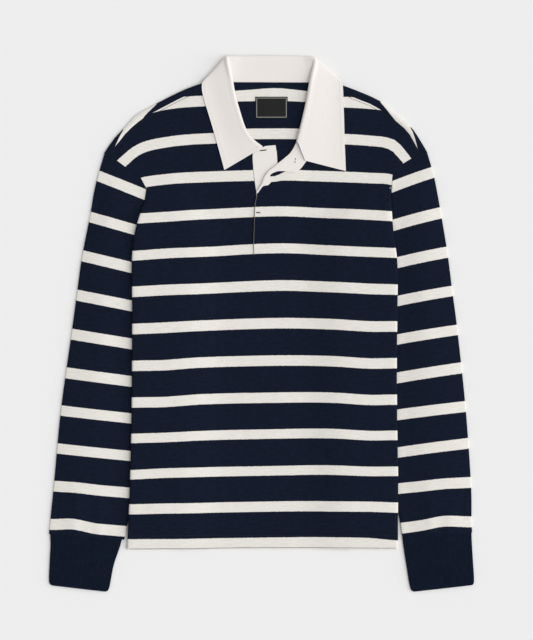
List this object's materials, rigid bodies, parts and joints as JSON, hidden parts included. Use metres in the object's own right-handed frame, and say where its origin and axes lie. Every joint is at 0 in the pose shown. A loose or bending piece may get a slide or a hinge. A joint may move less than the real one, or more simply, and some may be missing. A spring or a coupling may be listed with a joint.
{
  "type": "rugby shirt",
  "caption": "Long-sleeved rugby shirt laid flat, face up, with a turned-down collar, an open placket and rib cuffs.",
  "frame": {"origin": "centre of the bounding box in plan, at the level of the surface it lies on", "axes": "+Y towards the collar, +Z out of the shirt's front, +X towards the right sleeve as seen from above"},
  "size_m": [0.6584, 0.8304, 0.0135],
  "materials": {
    "striped_jersey": "navy cotton jersey with off-white cross stripes",
    "rib_knit": "navy rib knit",
    "collar_twill": "off-white cotton twill",
    "woven_label": "plain black woven label with a thin border, left blank"
  },
  "bodies": {
    "root": {"back_panel": "striped_jersey", "front_panel": "striped_jersey", "sleeve_left": "striped_jersey", "sleeve_right": "striped_jersey", "cuff_left": "rib_knit", "cuff_right": "rib_knit", "collar": "collar_twill", "under_placket": "collar_twill", "placket_facing": "collar_twill", "neck_label": "woven_label"}
  },
  "joints": []
}
